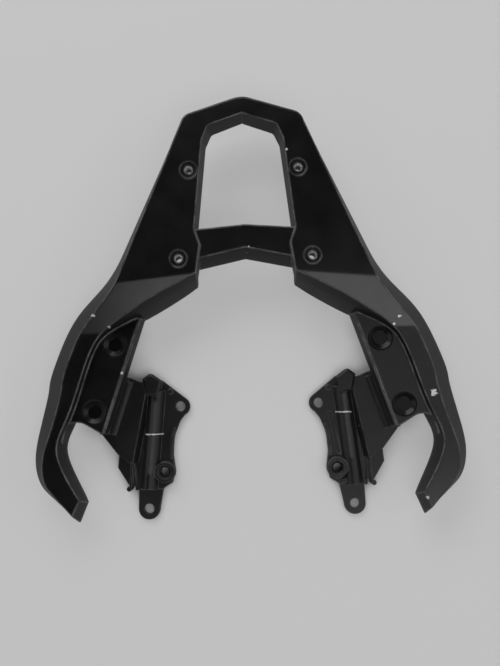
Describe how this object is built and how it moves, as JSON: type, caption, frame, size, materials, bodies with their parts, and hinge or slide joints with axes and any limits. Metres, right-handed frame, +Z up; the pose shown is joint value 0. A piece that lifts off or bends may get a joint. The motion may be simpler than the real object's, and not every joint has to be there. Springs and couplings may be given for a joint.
{
  "type": "top case bracket",
  "caption": "Black cast rear carrier for a motorbike top case: open deck with threaded holes, hooked grab handles at the sides and frame brackets bolted underneath.",
  "frame": {"origin": "bottom of the brackets, in the middle of the carrier's length and width", "axes": "+X to the right of the bike, +Y to its rear, +Z up with the deck level"},
  "size_m": [0.3922, 0.3836, 0.058],
  "materials": {
    "casting_paint": "satin black paint on cast aluminium, chipped at the edges",
    "bracket_paint": "duller black paint on cast aluminium, scratched",
    "black_bolt": "black coated steel",
    "black_cap": "pressed steel cap, semi-gloss black"
  },
  "bodies": {
    "root": {"carrier_casting": "casting_paint", "left_bracket": "bracket_paint", "right_bracket": "bracket_paint", "left_rear_bolt": "black_bolt", "left_front_bolt": "black_bolt", "right_rear_bolt": "black_bolt", "right_front_bolt": "black_bolt", "bolt_caps": "black_cap"}
  },
  "joints": []
}
